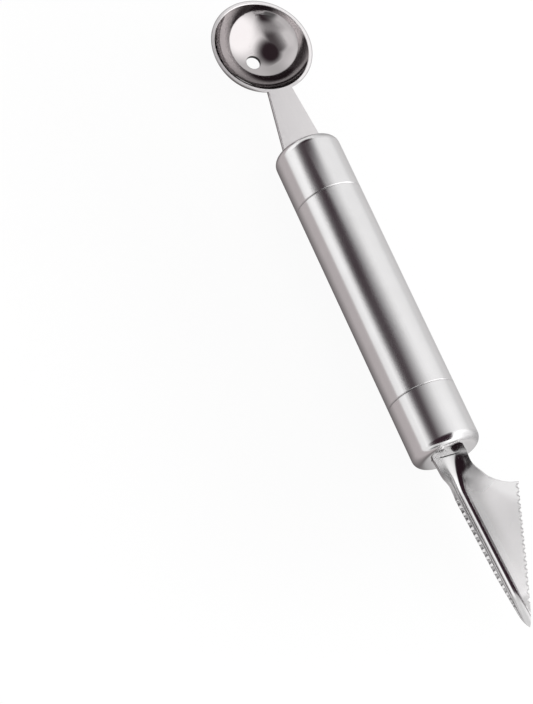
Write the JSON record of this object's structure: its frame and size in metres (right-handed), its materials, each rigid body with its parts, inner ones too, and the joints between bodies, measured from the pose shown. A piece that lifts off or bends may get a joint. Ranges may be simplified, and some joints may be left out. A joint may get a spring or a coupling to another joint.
{
  "type": "melon baller",
  "caption": "Melon baller with a vented round scoop at one end of a hollow steel handle and a V-folded serrated carving blade at the other.",
  "frame": {"origin": "middle of the handle, on its axis", "axes": "+X along the handle towards the scoop, -X towards the carving blade, +Z to the open side of the bowl and of the blade's V, +Y completes a right-handed frame"},
  "size_m": [0.2069, 0.0312, 0.0219],
  "materials": {
    "polished_steel": "mirror-polished stainless steel",
    "satin_steel": "satin, finely brushed stainless steel",
    "weld_steel": "dull as-welded stainless steel"
  },
  "bodies": {
    "root": {"scoop": "polished_steel", "scoop_end_cap": "satin_steel", "handle_tube": "satin_steel", "blade_end_cap": "satin_steel", "carving_blade": "polished_steel", "scoop_weld_beads": "weld_steel", "blade_weld_beads": "weld_steel"}
  },
  "joints": []
}
